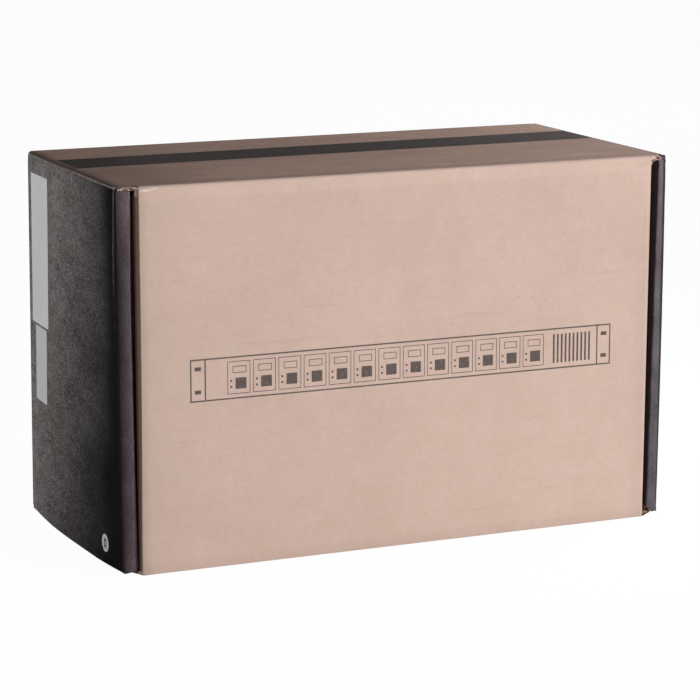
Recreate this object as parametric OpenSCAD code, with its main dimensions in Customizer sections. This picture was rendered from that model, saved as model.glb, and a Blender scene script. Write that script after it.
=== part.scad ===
// Roll-end tuck-front shipping carton, closed and standing on its front wall.
// X runs along the lid hinge, +Y from the lid to the base panel, +Z up.
// The origin is under the middle of the carton, on the surface it stands on.
// Inside the box frame, x starts at the left wall, y at the lid face and z at the floor.

/* [Carton] */
// Outer width across both side walls
box_w = 340; // [300:1:420]
// Outer distance from the lid face to the base face
box_h = 168; // [150:1:220]
// Outer distance from the front wall to the back wall
box_d = 218.5; // [190:0.5:300]
// Thickness of the corrugated board
board_t = 2.8; // [2.2:0.1:3.4]
// Play between two layers of board that lie together
layer_gap = 0.15; // [0.1:0.05:0.3]
// Running gap at a crease that swings
crease_gap = 0.3; // [0.2:0.05:0.5]
// Outer radius of the folds round the base
base_fold_r = 2; // [1:0.1:2.2]

/* [Side walls] */
// How far the cut ends of an outer side wall stop short of the box
side_inset = 2; // [1:0.1:3]
// Outer radius of the two creases of a roll-over spine
spine_fold_r = 1.5; // [0.8:0.1:2]
// Chamfer at the inner corners of a spine
spine_chamfer = 2.4; // [1:0.1:4]
// Length of a lock tab along the base
tab_l = 42; // [25:1:50]
// Distance from a lock tab's middle to the nearer end of the box
tab_end = 58; // [45:1:70]
// Play round a lock tab in its slot
tab_play = 0.3; // [0.2:0.05:0.6]
// How far a lock tab stops short of the base's outer face
tab_short = 0.4; // [0.2:0.1:1]

/* [Corner flaps] */
// Length of a corner flap from its fold
corner_flap_l = 92; // [60:1:92]
// How far a corner flap stops short of the spine and of the base
corner_flap_inset = 1.5; // [0.5:0.1:4]
// Taper at the free end of a corner flap
corner_flap_taper = 9; // [3:0.5:20]
// Outer radius of the fold that a corner flap hangs on
corner_fold_r = 2.6; // [1:0.1:2.8]

/* [Lid] */
// Play between the lid's two sides and the spines, taken together
lid_play = 4; // [2:0.1:8]
// How far the lid sits to the right of the middle
lid_shift = 1.5; // [0:0.1:1.6]
// Height of the lid's lower edge over the floor
lid_lift = 0.3; // [0.2:0.1:1]
// Outer radius of the lid's lower edge
lid_roll_r = 1.8; // [0.8:0.1:2.2]
// Outer radius of the lid's side creases
lid_fold_r = 1.2; // [0.6:0.1:2]
// Gap between the hinge fold's middle and the lid's upper edge
hinge_reach = 1.7; // [1.7:0.1:2.5]
// Depth of the recess that the lid's lower edge covers in the front wall
front_recess = 5.9; // [3.2:0.1:12]
// Distance from the lid face to the front wall's shoulders beside the lid
shoulder_y = 0.6; // [0.2:0.1:2]
// Play between a shoulder of the front wall and the lid's side
shoulder_play = 0.4; // [0.2:0.05:0.8]

/* [Tuck flap and ears] */
// Length of the tuck flap from its crease
flap_l = 48; // [30:1:55]
// Play between the tuck flap and the front wall
flap_play = 1.2; // [1.2:0.1:2]
// How far each end of the tuck flap's crease stops short of the lid's side
flap_inset = 4; // [3:0.5:10]
// Radius of the tuck flap's two free corners
flap_corner_r = 6; // [2:0.5:10]
// Length of a lid ear from its crease
ear_l = 50; // [30:1:55]
// Height of an ear's lower crease end over the tuck flap
ear_low = 3; // [2:0.5:10]
// Drop from the hinge to an ear's upper crease end
ear_top = 4; // [3:0.5:12]
// Taper of an ear's upper edge at its free end
ear_taper = 10; // [3:0.5:25]

/* [End cushions] */
// Thickness of a foam end cushion along the hinge
cushion_t = 54; // [35:1:70]
// Depth of the pocket that takes the goods' end
pocket_depth = 20; // [8:1:30]
// Foam between the pocket and the lid side or the base side
pocket_wall_y = 10; // [6:0.5:14]
// Foam between the pocket and the upper or lower end
pocket_wall_z = 24; // [12:1:40]
// Radius of the pocket's corners
pocket_r = 8; // [3:0.5:12]
// Radius of the cushion's long outer corners
cushion_r = 5; // [2:0.5:8]
// Play between a cushion and the board round it
cushion_play = 0.3; // [0.2:0.05:0.6]
// Free depth between the folded ears and a cushion
ear_sweep_play = 2; // [1:0.1:6]

/* [Labels] */
// Thickness of the label paper
label_t = 0.2; // [0.1:0.05:0.3]
// Width of the large label, along Y
label_w = 33; // [25:1:50]
// Height of the large label, along Z
label_h = 89; // [60:1:95]
// Distance from the base face to the large label
label_edge = 8; // [5:0.5:12]
// Distance from the top of the box to the large label
label_top = 11.7; // [8:0.1:16]
// Width of the small label, along Y
small_label_w = 23; // [15:1:30]
// Height of the small label, along Z
small_label_h = 44.8; // [30:0.1:48]
// Distance from the base face to the small label
small_label_edge = 14.5; // [8:0.5:20]
// Gap between the two labels
label_gap = 1.4; // [0.6:0.1:4]
// Radius of the labels' corners
label_r = 0.8; // [0.4:0.1:2]
// Radius of the round seal
seal_r = 5.2; // [4:0.1:8]
// Distance from the lid face to the middle of the round seal
seal_y = 29.3; // [20:0.1:40]
// Height of the middle of the round seal
seal_z = 13; // [12:0.1:20]

/* [Hidden] */
$fn = 48;

// Overrun of every cut past the face it opens
cut = 1;
kraft = [0.80, 0.69, 0.62];
kraft_inside = [0.70, 0.58, 0.47];
print_dark = [0.27, 0.26, 0.27];
paper_white = [0.85, 0.85, 0.85];
foam_white = [0.92, 0.92, 0.90];

// Layers of a side wall, counted from outside: outer wall, corner flaps, inner wall
layer_x = [0, board_t + layer_gap, 2 * (board_t + layer_gap)];
spine_w = 3 * board_t + 2 * layer_gap;
wall_x = layer_x[1];
inner_face_x = spine_w;

// Lid and what hangs on it
lid_w = box_w - 2 * spine_w - lid_play;
lid_x = (box_w - lid_w) / 2 + lid_shift;
hinge_y = board_t / 2;
hinge_z = box_d - board_t / 2;
lid_z1 = hinge_z - hinge_reach;
crease_y = board_t + crease_gap;
flap_z = board_t + flap_play;
ear_z0 = flap_z + board_t + ear_low;
ear_z1 = hinge_z - ear_top;

// Space for the cushions behind the swing of the ears and the flap
cushion_x = inner_face_x + cushion_play;
cushion_y = crease_y + max(ear_l, flap_l) + ear_sweep_play;
cushion_d = box_h - board_t - cushion_play - cushion_y;
cushion_z = board_t + cushion_play;
cushion_h = box_d - 2 * cushion_z;

// From the box frame to the part's frame, with the labels inside the middle of the width
module in_box() {
    translate([label_t / 2 - box_w / 2, -box_h / 2, 0]) children();
}

// The same piece on the right side of the box
module on_right() {
    translate([box_w, 0, 0]) mirror([1, 0, 0]) children();
}

// The same piece at the upper end of the box
module at_top() {
    translate([0, 0, box_d]) mirror([0, 0, 1]) children();
}

// Sweeps an outline drawn in Y and Z along X
module along_x(l) {
    rotate([90, 0, 90]) linear_extrude(l) children();
}

// Sweeps an outline drawn in X and Z along Y
module along_y(l) {
    translate([0, l, 0]) rotate([90, 0, 0]) linear_extrude(l) children();
}

// Rectangle whose two corners on the lower side are rounded
module low_rounded(w, h, r) {
    translate([r, 0]) square([w - 2 * r, h]);
    translate([0, r]) square([w, h - r]);
    intersection() {
        for (x = [r, w - r]) translate([x, r]) circle(r);
        square([w, h]);
    }
}

// Rectangle with four rounded corners
module all_rounded(w, h, r) {
    translate([r, 0]) square([w - 2 * r, h]);
    translate([0, r]) square([w, h - 2 * r]);
    for (x = [r, w - r]) for (y = [r, h - r]) translate([x, y]) circle(r);
}

// Middle heights of the two lock tabs
function tab_places() = [tab_end, box_d - tab_end];

// Panel at the back of the standing carton, with folded edges and four lock slots
module base_panel() {
    color(kraft) in_box() difference() {
        intersection() {
            translate([0, box_h, 0]) mirror([0, 1, 0]) linear_extrude(box_d)
                low_rounded(box_w, board_t, base_fold_r);
            along_x(box_w) translate([box_h, 0]) rotate(90) low_rounded(box_d, board_t, base_fold_r);
        }
        for (x = [-cut, box_w - board_t])
            for (z = [-cut, box_d - side_inset])
                translate([x, box_h - board_t - cut, z])
                    cube([board_t + cut, board_t + 2 * cut, side_inset + cut]);
        lock_slots();
        on_right() lock_slots();
    }
}

// Two slots through the base for one inner wall's tabs
module lock_slots() {
    for (z = tab_places())
        translate([layer_x[2] - tab_play, box_h - board_t - cut, z - tab_l / 2 - tab_play])
            cube([board_t + 2 * tab_play, board_t + 2 * cut, tab_l + 2 * tab_play]);
}

// Wall on the floor, whose front edge steps back behind the lid's lower edge
module front_wall() {
    wall_w = box_w - 2 * wall_x;
    color(kraft) in_box() difference() {
        translate([wall_x, shoulder_y, 0]) along_y(box_h - board_t - shoulder_y)
            low_rounded(wall_w, board_t, min(corner_fold_r, board_t));
        translate([lid_x - shoulder_play, -cut, -cut])
            cube([lid_w + 2 * shoulder_play, front_recess + cut, board_t + 2 * cut]);
    }
}

// Top wall, whose front edge is the round fold that the lid hinges on
module back_wall() {
    wall_w = box_w - 2 * wall_x;
    color(kraft) in_box() {
        translate([wall_x, hinge_y, box_d]) mirror([0, 0, 1]) along_y(box_h - board_t - hinge_y)
            low_rounded(wall_w, board_t, min(corner_fold_r, board_t));
        translate([wall_x, hinge_y, hinge_z]) rotate([0, 90, 0]) cylinder(h = wall_w, d = board_t);
    }
}

// Flap of the front wall, folded up between the outer and the inner side wall
module corner_flap() {
    y0 = board_t + corner_flap_inset;
    y1 = box_h - board_t - corner_flap_inset;
    z0 = board_t;
    z1 = board_t + corner_flap_l;
    translate([layer_x[1], 0, 0]) along_x(board_t)
        polygon([[y0, z0], [y1, z0], [y1, z1 - corner_flap_taper], [y1 - corner_flap_taper, z1],
            [y0 + corner_flap_taper, z1], [y0, z1 - corner_flap_taper]]);
}

module front_flap_left() {
    color(kraft_inside) in_box() corner_flap();
}

module front_flap_right() {
    color(kraft_inside) in_box() on_right() corner_flap();
}

module back_flap_left() {
    color(kraft_inside) in_box() at_top() corner_flap();
}

module back_flap_right() {
    color(kraft_inside) in_box() at_top() on_right() corner_flap();
}

// Outer layer of a side wall, from the spine to the base
module outer_wall() {
    translate([0, board_t, side_inset])
        cube([board_t, box_h - 2 * board_t, box_d - 2 * side_inset]);
}

module outer_wall_left() {
    color(print_dark) in_box() outer_wall();
}

module outer_wall_right() {
    color(print_dark) in_box() on_right() outer_wall();
}

// Narrow strip between the two creases that roll the side wall over
module spine() {
    z0 = board_t + crease_gap;
    z1 = box_d - z0;
    intersection() {
        linear_extrude(box_d) low_rounded(spine_w, board_t, spine_fold_r);
        along_y(board_t) polygon([[0, z0], [spine_w - spine_chamfer, z0], [spine_w, z0 + spine_chamfer],
            [spine_w, z1 - spine_chamfer], [spine_w - spine_chamfer, z1], [0, z1]]);
    }
}

module spine_left() {
    color(print_dark) in_box() spine();
}

module spine_right() {
    color(print_dark) in_box() on_right() spine();
}

// Inner layer of a side wall, locked into the base by two tabs
module inner_wall() {
    z0 = board_t + crease_gap;
    translate([layer_x[2], board_t, 0]) {
        translate([0, 0, z0]) cube([board_t, box_h - 2 * board_t, box_d - 2 * z0]);
        for (z = tab_places())
            translate([0, 0, z - tab_l / 2]) cube([board_t, box_h - board_t - tab_short, tab_l]);
    }
}

module inner_wall_left() {
    color(kraft_inside) in_box() inner_wall();
}

module inner_wall_right() {
    color(kraft_inside) in_box() on_right() inner_wall();
}

// Lid, which hangs from the hinge fold and covers the front wall's edge
module lid_panel() {
    color(kraft) in_box() translate([lid_x, 0, lid_lift]) intersection() {
        linear_extrude(lid_z1 - lid_lift) low_rounded(lid_w, board_t, lid_fold_r);
        along_x(lid_w) {
            translate([0, lid_roll_r]) square([board_t, lid_z1 - lid_lift - lid_roll_r]);
            translate([lid_roll_r, 0]) square([board_t - lid_roll_r, lid_roll_r]);
            translate([lid_roll_r, lid_roll_r]) circle(lid_roll_r);
        }
    }
}

// Flap that tucks in over the front wall, with its ends cut back to clear the folded ears
module tuck_flap() {
    crease_w = lid_w - 2 * flap_inset;
    color(kraft) in_box() translate([lid_x + flap_inset, crease_y, flap_z]) linear_extrude(board_t)
        mitred_flap(crease_w, flap_l, flap_corner_r);
}

// Outline that narrows by its own length at each end and has two round free corners
module mitred_flap(w, l, r) {
    // Distance from the mitre's end to where the round corner leaves the free edge
    back = r * tan(22.5);
    polygon([[0, 0], [w, 0], [w - l + back * sin(45), l - back * cos(45)], [w - l - back, l],
        [l + back, l], [l - back * sin(45), l - back * cos(45)]]);
    for (x = [l + back, w - l - back]) intersection() {
        translate([x, l - r]) circle(r);
        translate([x - r, l - r]) square([2 * r, r]);
    }
}

// Ear folded in along the inner wall, mitred below to clear the folded tuck flap
module lid_ear() {
    translate([lid_x, crease_y, 0]) along_x(board_t)
        polygon([[0, ear_z0], [ear_l, ear_z0 + ear_l], [ear_l, ear_z1 - ear_taper], [0, ear_z1]]);
}

module lid_ear_left() {
    color(kraft_inside) in_box() lid_ear();
}

module lid_ear_right() {
    color(kraft_inside) in_box() translate([lid_x + lid_w, 0, 0]) mirror([1, 0, 0])
        translate([-lid_x, 0, 0]) lid_ear();
}

// Foam block at one end of the box, with a pocket for the end of the goods
module end_cushion() {
    translate([cushion_x, cushion_y, cushion_z]) difference() {
        linear_extrude(cushion_h) all_rounded(cushion_t, cushion_d, cushion_r);
        translate([cushion_t - pocket_depth, pocket_wall_y, pocket_wall_z]) along_x(pocket_depth + cut)
            all_rounded(cushion_d - 2 * pocket_wall_y, cushion_h - 2 * pocket_wall_z, pocket_r);
    }
}

module end_cushion_left() {
    color(foam_white) in_box() end_cushion();
}

module end_cushion_right() {
    color(foam_white) in_box() on_right() end_cushion();
}

// Paper label on the left wall, placed by its edge towards the base and by its upper edge
module side_label(edge, top, w, h) {
    translate([-label_t, box_h - edge - w, box_d - top - h]) along_x(label_t) all_rounded(w, h, label_r);
}

module label_large() {
    color(paper_white) in_box() side_label(label_edge, label_top, label_w, label_h);
}

module label_small() {
    color(paper_white) in_box()
        side_label(small_label_edge, label_top + label_h + label_gap, small_label_w, small_label_h);
}

module round_seal() {
    color(paper_white) in_box()
        translate([-label_t, seal_y, seal_z]) rotate([0, 90, 0]) cylinder(h = label_t, r = seal_r);
}

base_panel();
back_wall();
back_flap_left();
back_flap_right();
front_wall();
front_flap_left();
front_flap_right();
outer_wall_left();
outer_wall_right();
spine_left();
spine_right();
inner_wall_left();
inner_wall_right();
lid_panel();
tuck_flap();
lid_ear_left();
lid_ear_right();
end_cushion_left();
end_cushion_right();
label_large();
label_small();
round_seal();
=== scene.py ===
"""Corrugated shipping carton: open flutes, folds, worn print and foam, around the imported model."""

import math

import bmesh
import bpy
from bpy.props import FloatProperty, FloatVectorProperty, IntProperty, PointerProperty
from bpy.types import Operator, Panel, PropertyGroup
from mathutils import Euler, Matrix, Vector, noise


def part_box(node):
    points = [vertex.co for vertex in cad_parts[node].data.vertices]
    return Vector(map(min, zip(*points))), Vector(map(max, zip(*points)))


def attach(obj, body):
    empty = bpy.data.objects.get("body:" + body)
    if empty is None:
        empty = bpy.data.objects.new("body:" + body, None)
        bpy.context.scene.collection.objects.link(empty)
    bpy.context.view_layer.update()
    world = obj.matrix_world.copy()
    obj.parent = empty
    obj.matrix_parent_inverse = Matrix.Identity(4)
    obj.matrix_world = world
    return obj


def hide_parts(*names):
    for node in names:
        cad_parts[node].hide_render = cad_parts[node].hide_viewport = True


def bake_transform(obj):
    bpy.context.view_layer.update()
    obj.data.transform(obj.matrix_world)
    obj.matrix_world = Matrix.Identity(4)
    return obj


bl_info = {
    "name": "Shipping carton",
    "version": (1, 0, 0),
    "blender": (4, 5, 0),
    "location": "3D View > Sidebar > Carton",
    "description": "Builds a roll-end shipping carton from corrugated board around its packed frame",
    "category": "Add Mesh",
}

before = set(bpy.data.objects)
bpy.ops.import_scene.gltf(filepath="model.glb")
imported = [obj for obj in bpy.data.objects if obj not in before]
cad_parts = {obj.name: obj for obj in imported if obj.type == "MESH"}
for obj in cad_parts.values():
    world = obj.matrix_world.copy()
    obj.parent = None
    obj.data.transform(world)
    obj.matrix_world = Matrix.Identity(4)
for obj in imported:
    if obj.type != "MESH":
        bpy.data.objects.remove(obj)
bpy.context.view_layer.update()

X, Y, Z = 0, 1, 2
MM = 0.001
AXES = (Vector((1, 0, 0)), Vector((0, 1, 0)), Vector((0, 0, 1)))
SIDES = (("left", -1), ("right", 1))


def node_box(name):
    """Lowest and highest corner of a CAD node."""
    low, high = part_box(name)
    return low.copy(), high.copy()


# Faces of the closed box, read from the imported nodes
BASE, BACK, FRONT = node_box("base_panel"), node_box("back_wall"), node_box("front_wall")
LID, FLAP = node_box("lid_panel"), node_box("tuck_flap")
BOARD_T = BASE[1].y - BASE[0].y
BOX_LEFT, BOX_RIGHT = node_box("outer_wall_left")[0].x, node_box("outer_wall_right")[1].x
BOX_FACE, BOX_FLOOR = LID[0].y, BASE[0].z


def at(x, y, z):
    """Point in the row frame, from millimetres counted from the box's left, lid face and floor."""
    return Vector((BOX_LEFT + x * MM, BOX_FACE + y * MM, BOX_FLOOR + z * MM))


def in_box(point):
    """Millimetres of a point in the row frame, counted the same way."""
    return (point - at(0, 0, 0)) / MM


# The box and its spines in these millimetres: the left spine's inner edge is also a spine's width
_, DEPTH, HEIGHT = in_box(BASE[1])
LEFT_SPINE, RIGHT_SPINE = in_box(node_box("spine_left")[1]).x, in_box(node_box("spine_right")[0]).x
# Where the lid's left crease, the hinge fold, the lid's paper and the ears' and flap's creases end
LID_CREASE, HINGE_END, LID_CREST, CREASE_END = 10.7, 5.2, 213.3, 8
# Middles of the lock tabs, half a tab's height and its play in a slot
TAB_MIDDLES, TAB_HALF, TAB_PLAY = (58, 160.5), 21, 0.3
# How far a window reaches past the edge that it cuts
OVERRUN = 1.0 * MM


def distance(name, millimetres, description):
    """Setting for a length."""
    return FloatProperty(name=name, description=description, default=millimetres * MM,
                         subtype="DISTANCE", unit="LENGTH")


def tint(name, colour, description):
    """Setting for a colour."""
    return FloatVectorProperty(name=name, description=description, default=colour,
                               subtype="COLOR", size=3, min=0, max=1)


def watts(name, power, description):
    """Setting for a lamp's power."""
    return FloatProperty(name=name, description=description, default=power, unit="POWER")


class CartonBoard(PropertyGroup):
    liner: distance("Liner", 0.32, "Thickness of the two outer papers")
    medium: distance("Medium", 0.24, "Thickness of the fluted paper")
    pitch: distance("Flute pitch", 6.4, "Distance from one flute to the next")
    mesh_step: distance("Mesh step", 7, "Longest edge in a flat paper")
    fold_step: distance("Fold step", 1.6, "Longest edge in a strip or a crease")
    flute_steps: IntProperty(name="Flute steps", description="Mesh steps in one flute", default=10, min=6)
    base_fold: distance("Base fold", 2.0, "Radius of the folds round the base")
    corner_fold: distance("Corner fold", 2.4, "Radius of the folds to the corner flaps")
    spine_fold: distance("Spine fold", 1.5, "Radius of a spine's inner crease")
    outer_fold: distance("Outer fold", 0.8, "Radius of the crease between spine and side wall")
    lid_fold: distance("Lid fold", 2.4, "Radius of the lid's crease to the left ear")
    sharp_fold: distance("Sharp fold", 0.7, "Radius of the lid's lower and right creases")
    hinge_fold: distance("Hinge fold", 1.7, "Radius of the fold between lid and back wall")
    crumple: distance("Crumple", 0.9, "How far the worn corners are pushed about")


class CartonColours(PropertyGroup):
    kraft: tint("Kraft", (0.60, 0.438, 0.364), "Outer paper")
    inside: tint("Inside", (0.42, 0.29, 0.19), "Inner paper")
    flute: tint("Flute", (0.36, 0.24, 0.155), "Fluted paper")
    ink: tint("Ink", (0.075, 0.06, 0.058), "Printing on the lid and the back wall")
    dark: tint("Dark print", (0.0034, 0.0025, 0.0030), "Full print on the side walls")
    # Haze: grey of rubbed dark print, and of a painted sheen on it
    haze: tint("Haze", (0.335, 0.306, 0.304), "Rubbed dark print")
    torn: tint("Torn paper", (0.58, 0.50, 0.45), "Pale fibres where paper is torn or rubbed through")
    paper: tint("Label paper", (0.78, 0.785, 0.80), "Labels")
    foam: tint("Foam", (0.80, 0.81, 0.80), "End cushions")


class CartonStage(PropertyGroup):
    eye: FloatVectorProperty(name="Eye", description="Place of the camera", subtype="TRANSLATION",
                             size=3, default=(-0.6354, -1.4756, 0.4342))
    azimuth: FloatProperty(name="Azimuth", description="Turn of the camera round the carton",
                           default=math.radians(-23.45), subtype="ANGLE")
    elevation: FloatProperty(name="Elevation", description="Rise of the camera over the horizon",
                             default=math.radians(11.75), subtype="ANGLE")
    lens: FloatProperty(name="Lens", description="Focal length on a 36 mm sensor", default=140.19, min=10)
    floor: distance("Floor", 6000, "Half the floor's width")
    glow: FloatProperty(name="Floor glow", description="Share of pure white in the look of the floor",
                        default=0.92, min=0, max=1)
    sky: FloatProperty(name="Sky", description="Strength of the even light from all round", default=0.03)
    key: watts("Key", 66.0, "Power of the large soft lamp in front")
    fill: watts("Fill", 17.0, "Power of the lamp at the left end")
    side: watts("Side", 1.35, "Power of the lamp beside the right end")
    back: watts("Back", 3.0, "Power of the lamp behind the carton")


# Shader maths

class Flow:
    """A value on its way through a material's nodes, with Python's signs for its maths."""

    def __init__(self, finish, socket):
        self.finish, self.socket = finish, socket

    def math(self, operation, *others):
        return self.finish.node("Math", {"operation": operation}, *(self, *others))

    def __add__(self, other):
        return self.math("ADD", other)

    def __sub__(self, other):
        return self.math("SUBTRACT", other)

    def __rsub__(self, other):
        return self.finish.node("Math", {"operation": "SUBTRACT"}, other, self)

    def __mul__(self, other):
        return self.math("MULTIPLY", other)

    def __truediv__(self, other):
        return self.math("DIVIDE", other)

    __radd__, __rmul__ = __add__, __mul__

    def __abs__(self):
        return self.math("ABSOLUTE")

    def sine(self):
        return self.math("SINE")

    def least(self, other):
        return self.math("MINIMUM", other)

    def most(self, other):
        return self.math("MAXIMUM", other)

    def repeat(self, pitch):
        """The value's place in a row of equal pitches, from zero to one pitch."""
        return self.math("FLOORED_MODULO", pitch)

    def clamp(self):
        return self.finish.node("Clamp", {}, self)

    def step(self, start, end):
        """Zero before start, one after end and a smooth rise between them."""
        return self.finish.node("MapRange", {"interpolation_type": "SMOOTHSTEP"}, self, start, end)

    def swing(self, amount):
        """The value's swing about a half, as a part of an amount."""
        return (self - 0.5) * amount


class Finish:
    """One material, the colour it has so far and its place in millimetres as in at()."""

    def __init__(self, name, colour, roughness, specular):
        self.material = bpy.data.materials.new(name)
        self.material.use_nodes = True
        self.tree = self.material.node_tree
        self.shader = self.tree.nodes["Principled BSDF"]
        self.shader.inputs["Roughness"].default_value = roughness
        self.shader.inputs["Specular IOR Level"].default_value = specular
        self.colour = colour
        self.place = self.node("TexCoord", {}, out="Object")
        self.row = [self.node("SeparateXYZ", {}, self.place, out=name) for name in "XYZ"]
        self.x, self.y, self.z = ((value - start) / MM for value, start in zip(self.row, at(0, 0, 0)))
        self.aside, self.rise = self.row[X] / MM, self.z / HEIGHT

    def node(self, kind, settings, *values, out=0, **named):
        """Adds a node: its settings first, then values or links for its sockets, in order or by name."""
        node = self.tree.nodes.new("ShaderNode" + kind)
        for setting, value in settings.items():
            setattr(node, setting, value)
        for key, value in [*enumerate(values), *named.items()]:
            if isinstance(value, Flow):
                self.tree.links.new(value.socket, node.inputs[key])
            else:
                node.inputs[key].default_value = value
        return Flow(self, node.outputs[out])

    def mix(self, factor, first, second):
        """Colour between two colours."""
        node = self.tree.nodes.new("ShaderNodeMix")
        node.data_type = "RGBA"
        for key, value in ((0, factor), (6, first), (7, second)):
            if isinstance(value, Flow):
                self.tree.links.new(value.socket, node.inputs[key])
            else:
                node.inputs[key].default_value = value if key == 0 else (*value, 1)
        return Flow(self, node.outputs[2])

    def scaled(self, colour, amount):
        """Colour made lighter or darker by a factor."""
        return self.node("VectorMath", {"operation": "SCALE"}, colour, Scale=amount)

    def paint(self, amount, colour):
        """Lays a share of another colour over the finish."""
        self.colour = self.mix(amount, self.colour, colour)

    def shade(self, amount):
        """Makes the finish lighter or darker by a factor."""
        self.colour = self.scaled(self.colour, amount)

    def grain(self, scale, stretch=(1, 1, 1), detail=3.0, roughness=0.55):
        """Noise from zero to one on the piece's own place, with its scale in features per metre."""
        place = self.node("Mapping", {}, self.place, Scale=stretch)
        return self.node("TexNoise", {}, Vector=place, Scale=scale, Detail=detail, Roughness=roughness)

    def specks(self, scale, size):
        """Small round specks, one where there is a speck."""
        gap = self.node("TexVoronoi", {}, Vector=self.place, Scale=scale)
        return gap.step(size, size * 0.5)

    def finish(self, height=None, depth=0.1, strength=0.6):
        """Joins the colour and a bump of a depth in millimetres to the shader."""
        self.tree.links.new(self.colour.socket, self.shader.inputs["Base Color"])
        if height is not None:
            bump = self.node("Bump", {}, Height=height, Distance=depth * MM, Strength=strength, out="Normal")
            self.tree.links.new(bump.socket, self.shader.inputs["Normal"])
        return self.material


def inside(value, centre, half):
    """Positive inside a stretch of a line."""
    return half - abs(value - centre)


def cover(*gaps, soft=0.12):
    """One inside every given stretch, zero outside, with a soft edge of ink."""
    least = gaps[0]
    for gap in gaps[1:]:
        least = least.least(gap)
    return (least / soft + 0.5).clamp()


def ring(x, z, half_x, half_z, line):
    """Outline of a rectangle about zero."""
    return cover(inside(x, 0, half_x), inside(z, 0, half_z)) \
        - cover(inside(x, 0, half_x - line), inside(z, 0, half_z - line))


# Finishes

def palette():
    """The carton's colours as they are set."""
    return bpy.context.scene.carton_colours


def tinted(colour, *factors):
    """Colour with its three channels made stronger or weaker."""
    return tuple(channel * factor for channel, factor in zip(colour, factors))


def kraft_paper(name, colour, across, roughness, specular):
    """Kraft paper: cloudy tone, fibres along the flutes, flecks, faint scratches and the flutes below."""
    f = Finish(name, colour, roughness, specular)
    along = tuple(1.0 if axis == across else 0.25 for axis in (X, Y, Z))
    clouds = f.grain(70, detail=5.0, roughness=0.62)
    blotches = f.grain(330, detail=4.0, roughness=0.65)
    fibres = f.grain(950, along, detail=2.0)
    fine = f.grain(2600, detail=1.0)
    flutes = (f.row[across] * (2 * math.pi / bpy.context.scene.carton_board.pitch)).sine()
    f.paint(0.15 + clouds.swing(0.9), tinted(colour, 0.93, 0.97, 1.05))
    f.shade(1 + f.grain(14, detail=2.0).swing(0.14) + clouds.swing(0.20) + blotches.swing(0.15)
            + fibres.swing(0.12) + fine.swing(0.06) + flutes * 0.005)
    scratch = f.grain(150, (0.10, 1.3, 1.3), detail=1.0).step(0.70, 0.78)
    dark = f.specks(160, 0.13) * f.grain(60).step(0.50, 0.62)
    dusty = f.grain(33, detail=2.0).step(0.46, 0.62)
    pale = f.grain(520, along, detail=4.0, roughness=0.7).step(0.60, 0.74) * dusty
    f.paint((dark * 0.26).most(scratch * 0.08), (0.22, 0.14, 0.10))
    f.paint(pale * 0.28, (0.80, 0.68, 0.60))
    f.paint(f.specks(95, 0.075) * 0.4, palette().torn)
    return f, flutes * 0.12 + blotches * 0.5 + fibres * 0.5 + fine * 0.2


def kraft_plain(name, colour, across, bleed=0.0):
    """Bare kraft paper, with the side walls' print over its folds where it is asked for, painted shade along
    its top rim and in its lower left front corner.
    """
    f, height = kraft_paper(name, colour, across, roughness=0.82, specular=0.25)
    if bleed:
        side_bleed(f, abs(f.aside), bleed)
    # Painted shade along the rounded top rim
    f.shade(1 - f.z.step(217.8, 219.2) * 0.5)
    # Painted shade in the lower left front corner beside the lid
    shade_lower_left_corner(f)
    return f.finish(height)


def shade_lower_left_corner(f):
    """Painted shade in the lower left front corner, in the recess beside the lid."""
    f.paint(f.x.step(13.4, 12.6) * (f.z.step(4.6, 3.4) * f.y.step(30, 12)) * 0.8, (0.035, 0.020, 0.014))


def side_bleed(f, aside, reach):
    """Dark print of a side wall that runs over its fold, with a ragged end."""
    end = BOX_RIGHT / MM - reach
    f.paint((aside + f.grain(500).swing(0.8)).step(end, end + 0.5), palette().dark)


def kraft_lid(name):
    """Kraft paper of the lid: line drawing of a rack unit, a painted highlight along its right edge, painted
    shade on its left fold and towards its lower end.
    """
    f, height = kraft_paper(name, palette().kraft, Z, roughness=0.8, specular=0.28)
    left, right, low = f.x - LID_CREASE, in_box(LID[1]).x - f.x, f.z - in_box(LID[0]).z
    # Painted shade towards the left crease, the lower edge and the right edge low down, and a painted
    # highlight just below the hinge fold
    f.shade(1 - left.step(34, 0) * 0.05 - left.step(8, 1.5) * 0.13 - low.step(9, 0) * 0.06
            - right.step(13, 2) * low.step(200, 150) * 0.07 + low.step(209, 213) * 0.05)
    # Painted shade on the lid's left fold: a brown band, wider towards the top
    fold = low.step(-20, 130) * 1.2 + 1.15 + f.grain(330).swing(0.5)
    brown = f.scaled((0.20, 0.128, 0.094), 1.5 - (left / 1.4).clamp() * 0.85)
    f.paint((left - fold).step(0.12, -0.12), brown)
    worn = 1 - f.grain(1500, detail=1.0).step(0.62, 0.72) * 0.35
    f.paint(rack_drawing(f) * worn * 0.94, palette().ink)
    # Painted highlight along the rounded right edge, broken up by noise
    edge = cover(inside(right, 0.9, 0.35), soft=0.4)
    f.paint(edge * f.grain(170) * 0.3, (0.80, 0.69, 0.60))
    streak = cover(inside(left, 8, 5), inside(low - left * 0.1, 216.3, 0.45), soft=0.9)
    f.paint(streak * f.grain(300, (0.35, 1, 1)).step(0.34, 0.55) * 0.8, (0.84, 0.75, 0.68))
    return f.finish(height)


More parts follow.
